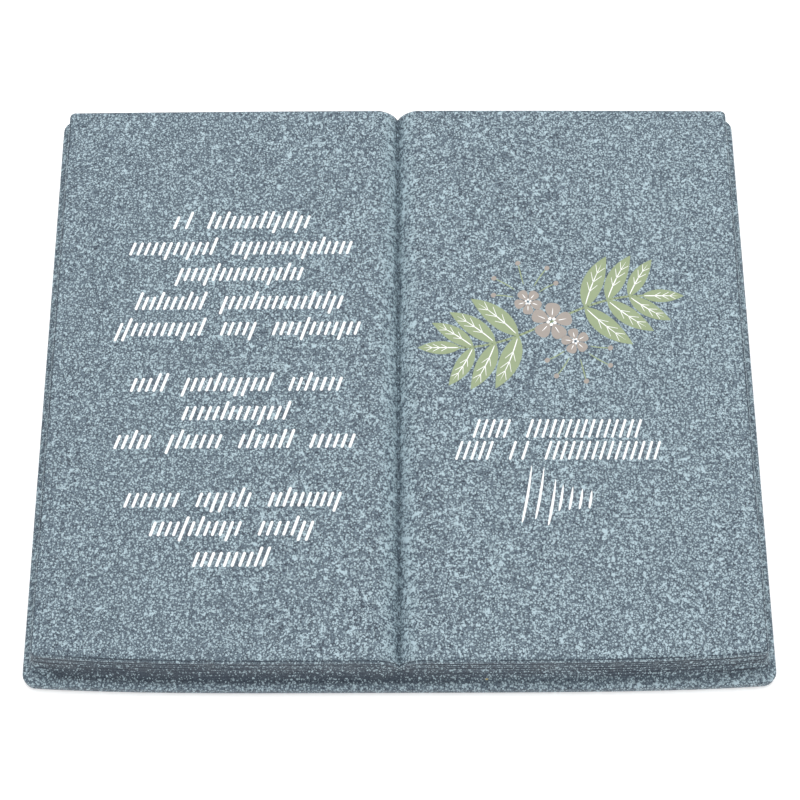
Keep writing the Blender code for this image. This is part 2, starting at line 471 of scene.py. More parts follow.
# %% Fill the pages
def page_grid(rim_x, rim_y, first_free):
    """Point numbers on a grid with the rim's own points round it, and X and Y of the new points inside.
    Each is the blend of left and right, plus the blend of front and rear, less the blend of the corners."""
    inner = WALK // 2 - ROW
    last = (WALK // 2 + ROW - 1) % WALK
    right = np.arange(ROW - 1, WALK // 2 + 1)
    left = np.concatenate([[0], np.arange(WALK - 1, last, -1), [last]])
    number = np.zeros((inner + 2, ROW), int)
    number[0] = np.arange(ROW)
    number[-1] = np.arange(last, WALK // 2 - 1, -1)
    number[:, -1] = right
    number[:, 0] = left
    filled = []
    for rim in (rim_x, rim_y):
        u = (rim_x[number[0]] - rim_x[0]) / (rim_x[ROW - 1] - rim_x[0])
        v = ((rim_y[right] - rim_y[ROW - 1]) / (rim_y[WALK // 2] - rim_y[ROW - 1]))[:, None]
        sides = rim[left][:, None] * (1 - u) + rim[right][:, None] * u
        ends = rim[number[0]] * (1 - v) + rim[number[-1]] * v
        near = rim[0] * (1 - u) + rim[ROW - 1] * u
        far = rim[last] * (1 - u) + rim[WALK // 2] * u
        filled.append((sides + ends - near * (1 - v) - far * v)[1:-1, 1:-1])
    rim_start = first_free - WALK
    number += rim_start
    number[1:-1, 1:-1] = first_free + np.arange(filled[0].size).reshape(filled[0].shape)
    return number, filled[0].ravel(), filled[1].ravel()


def grid_faces(number):
    """Four-sided faces between neighbouring rows and columns of point numbers."""
    corners = [number[:-1, :-1], number[:-1, 1:], number[1:, 1:], number[1:, :-1]]
    return np.stack(corners, axis=-1).reshape(-1, 4)


bands = np.concatenate([board, block], axis=1)
stations = bands.shape[1]
grid, page_x, page_y = page_grid(bands[0, -1], bands[1, -1], stations * WALK)
print("page grid:", grid.shape, "and", stations, "bands")


# %% Make the piece
def piece_from(name, points, faces):
    """A mesh object at the origin, from an array of points and a list of faces."""
    mesh = bpy.data.meshes.new(name)
    mesh.from_pydata(points, [], faces)
    mesh.validate()
    piece = bpy.data.objects.new(name, mesh)
    bpy.context.scene.collection.objects.link(piece)
    return piece


def keep(piece, name, values):
    """Keeps one number for each point on the piece, for its finish to read."""
    piece.data.attributes.new(name, "FLOAT", "POINT").data.foreach_set("value", values.astype(np.float32))


page = np.stack([page_x, page_y, page_height(page_x)], axis=1)
points = np.concatenate([bands[:3].reshape(3, -1).T, page])
numbers = np.arange(stations * WALK).reshape(stations, WALK)
skin = grid_faces(np.concatenate([numbers, numbers[:, :1]], axis=1))
casting = piece_from("open_book_casting", points,
                     skin.tolist() + grid_faces(grid).tolist() + [numbers[0, ::-1].tolist()])
casting.data.shade_smooth()
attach(casting, "root")
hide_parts("open_book_plaque")
print("casting:", len(casting.data.vertices), "points,", len(casting.data.polygons), "faces")

# %% [markdown]
# Bare, shaded and rubbed
#
# Two numbers on each point steer the finish. Bareness says how little spatter reached the place, and it also
# carries painted shade: the front wall and the grooves got least spatter and take painted shade as well, the
# shoulders of the valley got a little more spatter than the pages, and its narrow bottom takes painted shade.
# Rubbing says where the coat is worn to a dull grey: along the front edge of the pages in patches, and most
# at the left corner.

# %% Bare, shaded and rubbed
# The valley's shoulders get more spatter, and its narrow bottom takes painted shade.
PALE_SHOULDERS = 1.00
DARK_BOTTOM = 1.05
PAGE_TOP_DEPTH = EDGE_ROUNDING / 4
RUBBED_WIDTH = 1.3 * MM
RUBBED_PATCHES = 0.05
RUBBED_WAVES_PER_MM = np.array([0.045, 0.083, 0.151])[:, None]
RUBBED_PHASES = np.array([0.5, 2.0, 4.1])[:, None]
RUBBED_LEVEL = 0.5
RUBBED_LIMIT = 2.0
RUBBED_CORNER_X = -116.0 * MM
RUBBED_CORNER_REACH = 8.0 * MM
RUBBED_CORNER = 0.16


def bareness_and_shade():
    """The bands' own bareness and painted shade. On the pages the root of the valley's share makes the
    shoulders paler, and its square paints shade into the narrow bottom."""
    bare_and_shade = np.concatenate([bands[3].ravel(), np.zeros(len(page))])
    on_top = points[:, 2] > page_height(points[:, 0]) - PAGE_TOP_DEPTH
    deep = valley_share(points[:, 0]) / valley_share(0.0)
    return bare_and_shade + on_top * (DARK_BOTTOM * deep ** 2 - PALE_SHOULDERS * np.sqrt(deep))


def rubbing():
    """A bell curve across the page's front edge, times patches: sines of X, and a bell at the left corner."""
    x, y, z = points.T
    edge = -HALF_DEPTH + LEDGE_AT_FRONT + BLOCK_FLARE + BLOCK_FRONT_BOW * (x / HALF_WIDTH) ** FRONT_BOW_POWER
    across_edge = np.exp(-((y - edge) / RUBBED_WIDTH) ** 2) * (z > TOTAL_HEIGHT / 2)
    phases = 2 * math.pi * RUBBED_WAVES_PER_MM * x / MM + RUBBED_PHASES
    patches = RUBBED_PATCHES * np.clip(RUBBED_LEVEL + np.sin(phases).sum(axis=0), 0, RUBBED_LIMIT)
    corner = np.exp(-((x - RUBBED_CORNER_X) / RUBBED_CORNER_REACH) ** 2)
    return np.clip(across_edge * (patches + RUBBED_CORNER * corner), 0, 1)


keep(casting, "bare_and_shade", bareness_and_shade())
keep(casting, "rubbed", rubbing())
print("most bare", round(float(bareness_and_shade().max()), 2), "and most rubbed", round(float(rubbing().max()), 2))

# %% [markdown]
# Sums with sockets
#
# A procedural finish is mostly arithmetic on textures. Wiring each Math node by hand hides the formula, so
# one small class wraps a node's output and turns Python's own signs into Math nodes: mask * 0.5 adds a
# Multiply node, and 1 - mask works too. Colours and vectors don't pass through Math nodes, because those
# would keep only one number of three, so they go through Mix and Vector Math.


# %% The recipe and its wires
class Wire:
    """A node's output. The signs + - * add the Math node that does the sum."""

    def __init__(self, recipe, socket):
        self.recipe = recipe
        self.socket = socket

    def maths(self, operation, first, second):
        return self.recipe.node("ShaderNodeMath", {"operation": operation}, {0: first, 1: second})

    def __add__(self, other):
        return self.maths("ADD", self, other)

    def __radd__(self, other):
        return self.maths("ADD", other, self)

    def __sub__(self, other):
        return self.maths("SUBTRACT", self, other)

    def __rsub__(self, other):
        return self.maths("SUBTRACT", other, self)

    def __mul__(self, other):
        return self.maths("MULTIPLY", self, other)

    def __rmul__(self, other):
        return self.maths("MULTIPLY", other, self)


class Recipe:
    """A material's node tree, with the few kinds of step that these finishes use."""

    def __init__(self, name):
        self.material = bpy.data.materials.new(name)
        self.material.use_nodes = True
        self.tree = self.material.node_tree
        self.shader = self.tree.nodes["Principled BSDF"]

    def connect(self, socket, value):
        """Links a wire to the socket, or sets the socket's own value."""
        if isinstance(value, Wire):
            self.tree.links.new(value.socket, socket)
        else:
            socket.default_value = value

    def node(self, kind, settings=None, inputs=None, output=0):
        """Any node: its settings first, then the values or wires of its sockets. Gives back one output."""
        made = self.tree.nodes.new(kind)
        for name, value in (settings or {}).items():
            setattr(made, name, value)
        for name, value in (inputs or {}).items():
            self.connect(made.inputs[name], value)
        return Wire(self, made.outputs[output])

    def noise(self, place, per_mm, detail, roughness=0.5):
        """Cloudy noise between 0 and 1, with that many waves to the millimetre."""
        inputs = {"Vector": place, "Scale": per_mm, "Detail": detail, "Roughness": roughness}
        return self.node("ShaderNodeTexNoise", None, inputs)

    def step(self, value, start, end):
        """A smooth step: 0 up to the start, 1 from the end on."""
        return self.node("ShaderNodeMapRange", {"interpolation_type": "SMOOTHSTEP"},
                         {"Value": value, "From Min": start, "From Max": end})

    def mix(self, share, first, second):
        """The first colour where the share is 0 and the second where it is 1."""
        return self.node("ShaderNodeMix", {"data_type": "RGBA"}, {0: share, 6: first, 7: second}, 2)

    def finish(self, colour, roughness, normal=None):
        """Feeds the Principled shader and gives back the material."""
        self.connect(self.shader.inputs["Base Color"], colour)
        self.connect(self.shader.inputs["Roughness"], roughness)
        if normal is not None:
            self.connect(self.shader.inputs["Normal"], normal)
        return self.material

    def place_mm(self):
        """The point's place on the piece in millimetres, so texture scales are counts to the millimetre."""
        place = self.node("ShaderNodeTexCoord", None, None, "Object")
        return self.node("ShaderNodeVectorMath", {"operation": "SCALE"}, {"Vector": place, "Scale": 1 / MM})


print("a recipe adds up sockets with + - *")

# %% [markdown]
# Speckled stone
#
# The real coat is a slate-grey ground under three kinds of paler spatter: fine dots less than a millimetre
# wide, packed close, coarser ones among them, and sparse ragged clumps. Dots are Voronoi cells: the distance
# from a cell's centre is held against a radius of that cell's own, and a gritty noise frays the edge. Clumps
# are the peaks of a slower noise. Drifts, and the bareness and painted shade kept on the mesh, make every
# radius larger or smaller, so the spatter gathers in some places and leaves others dark. Where that is
# painted shade it darkens the front wall, the grooves and the valley's bottom. The dots also grow a little
# towards the right, which paints light from that side. Heights count for less than widths in these patterns,
# because drops run a little on an upright face.

# %% Stone colours
GROUND = (0.016, 0.028, 0.048, 1.0)
GROUND_LIGHT = (0.021, 0.032, 0.050, 1.0)
MOTTLE = (0.123, 0.172, 0.213, 1.0)
FLECK_DULL = (0.255, 0.338, 0.378, 1.0)
FLECK = (0.410, 0.532, 0.590, 1.0)
RUBBED = (0.165, 0.168, 0.176, 1.0)
OCHRE = (0.42, 0.36, 0.17, 1.0)
print("stone colours run from", GROUND[:3], "to", FLECK[:3])

# %% Stone patterns
HEIGHT_SHARE = 0.55
FINE_PER_MM = 1.40
COARSE_PER_MM = 0.75
# Dots: the least radius, what chance adds to it, and how much grit frays the edge
FINE_DOT = (0.25, 0.25, 0.8)
COARSE_DOT = (0.05, 0.35, 0.7)
# Noises: waves to the millimetre, detail and roughness
DRIFT_NOISE = (0.20, 2.0, 0.5)
GRIT_NOISE = (2.2, 1.0, 0.8)
CLUMP_NOISE = (0.50, 3.0, 0.7)
GROUND_NOISE = (0.13, 1.0, 0.5)
TONE_NOISE = (0.8, 2.0, 0.5)
# Smooth steps: where each starts and where it ends
DOT_EDGE = (-0.07, 0.08)
CLUMP_STEP = (0.585, 0.66)
GROUND_STEP = (0.50, 0.68)
MOTTLE_STEP = (0.36, 0.60)
TONE_STEP = (0.35, 0.65)
SHELTER_AND_SHADE_STEP = (0.05, 0.65)
print("fine dots", round(1 / FINE_PER_MM, 2), "mm apart, coarse ones", round(1 / COARSE_PER_MM, 2), "mm")

# %% Stone shares
DRIFT_GAIN = 0.09
# The dots grow towards the right, so the pages are paler there: painted light from the right.
DENSER_TO_RIGHT = 0.016 / HALF_WIDTH * MM
LOST_WHERE_BARE_AND_SHADED = 0.20
LOST_WHERE_RUBBED = 0.05
COARSE_KEPT = 0.10
CLUMP_GAIN = 0.5
MOTTLE_LOST = 0.75
WORN = 0.85
LESS_WORN_ON_DOTS = 0.40
OCHRE_GRAIN = (28.8, -105.84, 6.0)
OCHRE_STEP = (0.65, 0.35)
STONE_ROUGHNESS = 0.68
DOTS_SMOOTHER = 0.10
STONE_RELIEF = 0.25
STONE_RELIEF_DEPTH = 0.06 * MM
print("one ochre grain at, mm:", OCHRE_GRAIN)


# %% Stone finish
def spatter(stone, place, per_mm, dot, grit, more):
    """Dots, one to a cell: 1 where the distance to the cell's centre is under a radius of the cell's own.
    The radius is the least one, plus chance, plus more, less what grit frays off."""
    least, spread, fraying = dot
    cells = {"Vector": place, "Scale": per_mm}
    distance = stone.node("ShaderNodeTexVoronoi", None, cells, "Distance")
    chance = stone.node("ShaderNodeTexVoronoi", None, cells, "Color")
    return stone.step(least + spread * chance - distance - (fraying * (grit - 0.5) - more), *DOT_EDGE)


def stone_finish():
    """Ground, mottling, dots in two sizes, clumps, rubbed patches and one grain, with a slight relief."""
    stone = Recipe("speckled_stone")
    place_mm = stone.place_mm()
    squashed = {0: place_mm, 1: (1, 1, HEIGHT_SHARE)}
    place = stone.node("ShaderNodeVectorMath", {"operation": "MULTIPLY"}, squashed)
    across = stone.node("ShaderNodeSeparateXYZ", None, {"Vector": place}, "X")
    bare_and_shade = stone.node("ShaderNodeAttribute", {"attribute_name": "bare_and_shade"}, None, "Fac")
    rubbed = stone.node("ShaderNodeAttribute", {"attribute_name": "rubbed"}, None, "Fac")
    drift = stone.noise(place, *DRIFT_NOISE)
    grit = stone.noise(place, *GRIT_NOISE)
    # Bareness and painted shade take spatter away.
    lost = LOST_WHERE_BARE_AND_SHADED * bare_and_shade + LOST_WHERE_RUBBED * rubbed
    more = DRIFT_GAIN * (drift - 0.5) + across * DENSER_TO_RIGHT - lost
    sheltered_and_shaded = stone.step(bare_and_shade, *SHELTER_AND_SHADE_STEP)
    fine = spatter(stone, place, FINE_PER_MM, FINE_DOT, grit, more)
    coarse = spatter(stone, place, COARSE_PER_MM, COARSE_DOT, grit, more + COARSE_KEPT * sheltered_and_shaded)
    clump = stone.step(stone.noise(place, *CLUMP_NOISE) + CLUMP_GAIN * more, *CLUMP_STEP)
    pale = fine + coarse - fine * coarse
    ground = stone.mix(stone.step(stone.noise(place, *GROUND_NOISE), *GROUND_STEP), GROUND, GROUND_LIGHT)
    mottled = stone.mix(stone.step(grit, *MOTTLE_STEP) * (1 - MOTTLE_LOST * sheltered_and_shaded), ground, MOTTLE)
    tone = stone.mix(stone.step(stone.noise(place, *TONE_NOISE), *TONE_STEP), FLECK_DULL, FLECK)
    coat = stone.mix(clump, stone.mix(pale, mottled, tone), FLECK)
    worn = stone.mix(rubbed * (WORN - LESS_WORN_ON_DOTS * pale), coat, RUBBED)
    to_grain = {0: place_mm, 1: OCHRE_GRAIN}
    off_grain = stone.node("ShaderNodeVectorMath", {"operation": "DISTANCE"}, to_grain, "Value")
    colour = stone.mix(stone.step(off_grain, *OCHRE_STEP), worn, OCHRE)
    height = {"Strength": STONE_RELIEF, "Distance": STONE_RELIEF_DEPTH, "Height": pale + clump}
    relief = stone.node("ShaderNodeBump", None, height)
    return stone.finish(colour, STONE_ROUGHNESS - DOTS_SMOOTHER * pale, relief)


casting.data.materials.append(stone_finish())
print("stone nodes:", len(casting.data.materials[0].node_tree.nodes))

# %% [markdown]
# Printing ink
#
# The printing is a thin opaque film in three colours: white, sage green and taupe. It follows the flecks
# under it, so its surface is finely uneven, and the print head leaves it a little cloudy. One recipe serves
# all three.


# %% Ink finish
WHITE = (0.93, 0.94, 0.94)
SAGE = (0.27, 0.34, 0.19)
TAUPE = (0.34, 0.30, 0.27)
INK_CLOUD_NOISE = (0.5, 2.0)
INK_CLOUD_STEP = (0.3, 0.7)
INK_CLOUD_SHADE = 0.955
INK_GRAIN_NOISE = (FINE_PER_MM, 1.5)
INK_RELIEF = 0.2
INK_RELIEF_DEPTH = 0.04 * MM
INK_ROUGHNESS = 0.5


def ink_finish(name, colour):
    """An even colour, faintly clouded, with a fine relief as wide as the stone's fine dots."""
    ink = Recipe(name)
    place = ink.place_mm()
    cloud = ink.step(ink.noise(place, *INK_CLOUD_NOISE), *INK_CLOUD_STEP)
    shade = tuple(INK_CLOUD_SHADE * part for part in colour) + (1.0,)
    grain = ink.noise(place, *INK_GRAIN_NOISE)
    height = {"Strength": INK_RELIEF, "Distance": INK_RELIEF_DEPTH, "Height": grain}
    relief = ink.node("ShaderNodeBump", None, height)
    return ink.finish(ink.mix(cloud, shade, colour + (1.0,)), INK_ROUGHNESS, relief)


white_ink = ink_finish("white_ink", WHITE)
sage_ink = ink_finish("sage_ink", SAGE)
taupe_ink = ink_finish("taupe_ink", TAUPE)
print("inks:", white_ink.name, sage_ink.name, taupe_ink.name)

# %% [markdown]
# A film of ink
#
# Each printed mark is an outline in X and Y. It could be an image in the stone's material, but then its edge
# would be as coarse as the image's pixels, so it is a real film instead. The outline is laid on the page
# twice, once just above it and once just inside the stone, and the two are joined by a wall. Where one colour
# lies over another its top is a little higher, so the two never share a plane.

# %% Film from outlines
FILM = 0.014 * MM
SUNK = 0.05 * MM
LEAVES_LAYER = 2
VEINS_LAYER = 3
PETALS_LAYER = 4
CREASES_LAYER = 5
DOTS_LAYER = 6


def film_of(outlines, layer=1):
    """Points and faces of closed films, from outlines of shape (marks, points, 2) that run anticlockwise.
    A film's top is the page's height plus the layer times the film's thickness."""
    marks, count, _ = outlines.shape
    x, y = outlines.reshape(-1, 2).T
    page = page_height(x)
    top = np.stack([x, y, page + layer * FILM], axis=1)
    foot = np.stack([x, y, page - SUNK], axis=1)
    upper = np.arange(marks * count).reshape(marks, count)
    lower = upper + marks * count
    walls = np.stack([lower, np.roll(lower, -1, 1), np.roll(upper, -1, 1), upper], axis=-1).reshape(-1, 4)
    return np.concatenate([top, foot]), upper.tolist() + lower[:, ::-1].tolist() + walls.tolist()


def print_piece(name, films, ink):
    """One piece from several films: their points follow each other and the face numbers move up to match."""
    points = []
    faces = []
    start = 0
    for film_points, film_faces in films:
        points.append(film_points)
        faces += [[start + number for number in face] for face in film_faces]
        start += len(film_points)
    piece = piece_from(name, np.concatenate(points), faces)
    piece.data.materials.append(ink)
    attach(piece, "root")
    print(name, len(piece.data.polygons), "faces")


print("ink film:", round(1000 * FILM, 3), "mm thick")

# %% [markdown]
# Strokes in rows
#
# Both pages carry rows of white ticks, and gaps part most rows into groups. All the ticks lean the same way.
# On the left page some are taller and a few reach below the row, and on the right page they are all alike.
# They could be set by hand one by one, but a row is a pattern, so one sum on whole arrays makes all its ticks
# at even steps. A tick's outline is a half circle round its start and a half circle round its end.

# %% Stroke outlines
ROUND_END_POINTS = 8


def stroke_outlines(start, end, start_radius, end_radius):
    """Outlines with round ends: each point is an end plus its radius along a turned direction."""
    way = end - start
    way = way / np.linalg.norm(way, axis=1, keepdims=True)
    side = np.stack([-way[:, 1], way[:, 0]], axis=1)
    turn = np.linspace(math.pi / 2, 3 * math.pi / 2, ROUND_END_POINTS)[:, None]
    back = np.cos(turn) * way[:, None] + np.sin(turn) * side[:, None]
    first = start[:, None] + np.reshape(start_radius, (-1, 1, 1)) * back
    second = end[:, None] - np.reshape(end_radius, (-1, 1, 1)) * back
    return np.concatenate([first, second], axis=1)


sample = stroke_outlines(np.zeros((1, 2)), np.array([[1.0, 0.0]]), [0.5], [0.5])
print("a stroke's outline has", sample.shape[1], "points")

# %% Rows of ticks
PLACE_WIDTH = 6.05 * MM
TICKS_TO_A_PLACE = 2.4
TICK_RADIUS = 0.50 * MM
FINE_TICK_RADIUS = 0.42 * MM
LEAN = 0.34
LEFT_MIDDLE = -55.8 * MM
RIGHT_MIDDLE = 53.8 * MM
LOW_TICK = 5.2 * MM
TALL_TICK = 7.0 * MM
DROP_BELOW = 1.9 * MM
GROUP_MARGIN = 0.15
TICK_SEED = 21
LOW_TO_A_TALL = 4
LEVEL_TO_A_DROP = 8
# Rows: the foot in millimetres, and the width of each group in places
LEFT_ROWS = ((55.3, (1, 6)), (44.9, (5, 7)), (34.6, (7.3,)), (23.4, (4, 7)), (13.3, (5, 2, 5)),
             (-7.8, (2, 5, 3)), (-18.5, (6,)), (-28.9, (2, 3, 3, 2.5)),
             (-50.0, (3, 3, 4)), (-60.2, (5, 3)), (-71.0, (4.1,)))
RIGHT_ROWS = ((-25.5, (2, 6.4)), (-33.5, (2, 1, 6.4)))


def row_of_ticks(foot, groups, middle, heights, drops, random):
    """Starts and ends of the ticks in one centred row. Each group is as many places wide as its number says,
    its ticks stand at even steps, and one empty place parts it from the next."""
    begins = np.cumsum([0.0] + [group + 1 for group in groups])
    left = middle - (begins[-1] - 1) * PLACE_WIDTH / 2
    steps = [np.linspace(begin + GROUP_MARGIN, begin + group - GROUP_MARGIN, round(group * TICKS_TO_A_PLACE))
             for begin, group in zip(begins, groups)]
    x = left + PLACE_WIDTH * np.concatenate(steps)
    low_end = foot * MM - random.choice(drops, size=len(x)) + TICK_RADIUS
    high_end = foot * MM + random.choice(heights, size=len(x)) - TICK_RADIUS
    centre = foot * MM + LOW_TICK / 2
    ends = [x + LEAN * (low_end - centre), low_end, x + LEAN * (high_end - centre), high_end]
    return np.stack(ends, axis=1)


random = np.random.default_rng(TICK_SEED)
heights = [LOW_TICK] * LOW_TO_A_TALL + [TALL_TICK]
drops = [0.0] * LEVEL_TO_A_DROP + [DROP_BELOW]
ticks = [row_of_ticks(foot, groups, LEFT_MIDDLE, heights, drops, random) for foot, groups in LEFT_ROWS]
ticks += [row_of_ticks(foot, groups, RIGHT_MIDDLE, [TALL_TICK], [0], random) for foot, groups in RIGHT_ROWS]
ticks = np.concatenate(ticks)
radius = np.where(ticks[:, 0] < 0, TICK_RADIUS, FINE_TICK_RADIUS)
tick_outlines = stroke_outlines(ticks[:, :2], ticks[:, 2:], radius, radius)
print(len(ticks), "ticks in", len(LEFT_ROWS) + len(RIGHT_ROWS), "rows")

# %% [markdown]
# Blades: leaves, petals and flourishes
#
# A leaf, a petal and a pen flourish are the same shape with other numbers. Its middle line runs off along a
# direction and bends to one side with the square of the way along. Its half width at a share of the way is
# that share to one power, times what is left to another, over the largest value that this takes. Powers near
# one make pointed ends, and powers under a half make round ones.

# %% Blade outlines
BLADE_FLATS = 12


def middle_line(base, angle, length, bend, share):
    """Points along blades: base + length * (share along the direction + bend * share squared across it)."""
    way = np.stack([np.cos(angle), np.sin(angle)], axis=-1)[:, None]
    side = np.stack([-np.sin(angle), np.cos(angle)], axis=-1)[:, None]
    share = np.reshape(share, (1, -1, 1))
    reach = np.reshape(length, (-1, 1, 1))
    return base[:, None] + reach * (share * way + np.reshape(bend, (-1, 1, 1)) * share ** 2 * side)


def blade_width(share, near, far):
    """Share to one power times the rest to another, over the largest value that this takes."""
    widest = near / (near + far)
    return share ** near * (1 - share) ** far / (widest ** near * (1 - widest) ** far)


def blade_outlines(base, angle, length, half_width, bend, near, far, start=0.0, stop=1.0):
    """Anticlockwise outlines: out along the right edge, and back along the left one."""
    turn = np.linspace(0, math.pi, BLADE_FLATS + 1)
    share = (1 - np.cos(turn)) / 2
    middle = middle_line(base, angle, length, bend, start + (stop - start) * share)
    along_it = np.gradient(middle, axis=1)
    along_it /= np.linalg.norm(along_it, axis=2, keepdims=True)
    side = np.stack([-along_it[..., 1], along_it[..., 0]], axis=-1)
    width = np.reshape(half_width, (-1, 1, 1)) * np.reshape(blade_width(share, near, far), (1, -1, 1))
    right = middle - side * width
    left = middle + side * width
    return np.concatenate([right, left[:, -2:0:-1]], axis=1)


print("a blade's outline has", 2 * BLADE_FLATS, "points")

# %% Flourish below the right page's rows
FLOURISH_LEAN = math.radians(76)
FLOURISH_HALF_WIDTH = 0.45 * MM
FLOURISH_BEND = 0.06
FLOURISH_NEAR, FLOURISH_FAR = 0.35, 0.6
FLOURISH_X = np.array([41.1, 45.6, 49.8, 53.6, 57.0, 60.4, 63.7]) * MM
FLOURISH_FOOT = np.array([-56.0, -54.8, -57.0, -51.8, -51.5, -51.2, -50.9]) * MM
FLOURISH_LENGTH = np.array([21.0, 19.0, 17.0, 9.5, 8.5, 7.5, 6.5]) * MM

flourish_base = np.stack([FLOURISH_X, FLOURISH_FOOT], axis=1)
flourish_angle = np.full(len(FLOURISH_X), FLOURISH_LEAN)
flourish = blade_outlines(flourish_base, flourish_angle, FLOURISH_LENGTH, FLOURISH_HALF_WIDTH,
                          FLOURISH_BEND, FLOURISH_NEAR, FLOURISH_FAR)
print("flourish of", len(flourish), "blades")

# %% [markdown]
# A spray of leaves
#
# Above the rows of the right page is a plain garland: two leafy stems leave a cluster of three blossoms, one
# dipping and one rising. The stem is a sine wave. Leaves stand in pairs on both sides of it, shorter towards
# the ends, and each carries a white midrib and side veins.

# %% Stem and leaves
SPRAY_MIDDLE = np.array([53.5, 18.3]) * MM
SPRAY_REACH = 32.0 * MM
SPRAY_WAVE = 10.0 * MM
SPRAY_BEND = 0.50 * math.pi
STEM_RADIUS = 0.40 * MM
STEM_FLATS = 40
LEAF_SHARES = np.array([0.37, 0.62, 0.86])
STEM_HEADING = math.radians(13)
LEAF_SPREAD = math.radians(58)
LEAF_FAN = 0.30
LEAF_LENGTH = 22.5 * MM
LEAF_HALF_WIDTH = 3.8 * MM
LEAF_BEND = 0.14
LEAF_TAPER = 0.34
LEAF_NEAR, LEAF_FAR = 0.80, 1.0


def stem_point(t):
    """The stem at t from -1 to 1: even steps across, and a sine wave upwards."""
    return SPRAY_MIDDLE + np.stack([SPRAY_REACH * t, SPRAY_WAVE * np.sin(SPRAY_BEND * t)], axis=-1)


def leaf_table():
    """Base, angle, length, half width and bend of every leaf: both stems, both sides and the two tips."""
    pairs = len(LEAF_SHARES)
    t = np.concatenate([LEAF_SHARES, LEAF_SHARES, [1.0]])
    side = np.concatenate([np.ones(pairs), -np.ones(pairs), [0.0]])
    t = np.concatenate([t, -t])
    side = np.concatenate([side, side])
    size = 1 - LEAF_TAPER * t ** 2
    outwards = np.where(t > 0, 0, math.pi) + STEM_HEADING * (side != 0)
    angle = outwards + side * (LEAF_SPREAD - LEAF_FAN * (np.abs(t) - LEAF_SHARES[1]))
    return stem_point(t), angle, LEAF_LENGTH * size, LEAF_HALF_WIDTH * size, -LEAF_BEND * side


leaf_base, leaf_angle, leaf_length, leaf_half, leaf_bend = leaf_table()
leaves = blade_outlines(leaf_base, leaf_angle, leaf_length, leaf_half, leaf_bend, LEAF_NEAR, LEAF_FAR)
t = np.linspace(-1, 1, STEM_FLATS + 1)
stem = stroke_outlines(stem_point(t[:-1]), stem_point(t[1:]), STEM_RADIUS, STEM_RADIUS)
print(len(leaves), "leaves on two stems")

# %% Veins
VEIN_SHARES = (0.30, 0.48, 0.66)
VEIN_SPREAD = math.radians(30)
VEIN_RADII = (0.13 * MM, 0.08 * MM)
VEIN_LENGTH = 1.1
SHORT_WAY = 0.02
MIDRIB_HALF_WIDTH = 0.20 * MM
MIDRIB_NEAR, MIDRIB_FAR = 0.3, 0.8
MIDRIB_START, MIDRIB_STOP = 0.05, 0.86


def side_veins():
    """Thin strokes from the midrib to either side, a little longer than the leaf's half width there."""
    found = []
    for share in VEIN_SHARES:
        near = middle_line(leaf_base, leaf_angle, leaf_length, leaf_bend, [share, share + SHORT_WAY])
        way = near[:, 1] - near[:, 0]
        heading = np.arctan2(way[:, 1], way[:, 0])
        reach = leaf_half * blade_width(share, LEAF_NEAR, LEAF_FAR) * VEIN_LENGTH
        for side in (-1, 1):
            turned = heading + side * VEIN_SPREAD
            tip = near[:, 0] + reach[:, None] * np.stack([np.cos(turned), np.sin(turned)], axis=-1)
            found.append(stroke_outlines(near[:, 0], tip, *VEIN_RADII))
    return np.concatenate(found)


midribs = blade_outlines(leaf_base, leaf_angle, leaf_length, MIDRIB_HALF_WIDTH, leaf_bend,
                         MIDRIB_NEAR, MIDRIB_FAR, MIDRIB_START, MIDRIB_STOP)
veins = side_veins()
print(len(midribs), "midribs and", len(veins), "side veins")

# %% Blossoms
BLOSSOMS = ((0.0, 0.0, 7.2, 0.2), (-8.0, 7.6, 4.9, 0.9), (8.0, -7.6, 4.9, 0.5))
PETALS = 5
PETAL_START, PETAL_LENGTH, PETAL_HALF_WIDTH = 0.14, 0.86, 0.37
PETAL_NEAR, PETAL_FAR = 0.80, 0.40
CREASE_START, CREASE_LENGTH = 0.34, 0.40
CREASE_HALF_WIDTH = 0.15 * MM
CREASE_NEAR, CREASE_FAR = 0.4, 0.9
DOT_RADIUS = 0.075
DOT_RING = 0.17
DOT_STRETCH = 0.1


def round_dots(centres, radius):
    """Nearly round outlines: a stroke so short that its two half circles almost meet."""
    reach = radius * DOT_STRETCH
    return stroke_outlines(centres - reach, centres + reach, radius, radius)


def blossom(across_mm, along_mm, reach_mm, turn):
    """Petals, their creases and the dots in the middle, as shares of the blossom's reach from its centre."""
    middle = SPRAY_MIDDLE + np.array([across_mm, along_mm]) * MM
    angle = turn + 2 * math.pi * np.arange(PETALS) / PETALS
    way = np.stack([np.cos(angle), np.sin(angle)], axis=-1)
    reach = reach_mm * MM
    petals = blade_outlines(middle + PETAL_START * reach * way, angle, PETAL_LENGTH * reach,
                            PETAL_HALF_WIDTH * reach, 0.0, PETAL_NEAR, PETAL_FAR)
    creases = blade_outlines(middle + CREASE_START * reach * way, angle, CREASE_LENGTH * reach,
                             CREASE_HALF_WIDTH, 0.0, CREASE_NEAR, CREASE_FAR)
    halfway = angle + math.pi / PETALS
    around = middle + DOT_RING * reach * np.stack([np.cos(halfway), np.sin(halfway)], axis=-1)
    dots = round_dots(around, DOT_RADIUS * reach)
    return petals, creases, dots


petals, creases, dots = (np.concatenate(parts) for parts in zip(*[blossom(*row) for row in BLOSSOMS]))
print(len(petals), "petals in", len(BLOSSOMS), "blossoms")

# %% Buds on fine stalks
BUD_FANS = ((-8.0, 7.6, 102.0), (8.0, -7.6, -78.0))
BUD_TURNS = np.radians([-52, -26, 0, 26, 52])
BUD_REACH = np.array([12.0, 14.5, 15.5, 14.5, 12.0]) * MM
BUD_RADIUS = 0.85 * MM
STALK_HALF_WIDTH = 0.22 * MM
STALK_BEND = 0.25
STALK_NEAR, STALK_FAR = 0.25, 0.25
STALK_START, STALK_STOP = 0.45, 1.0


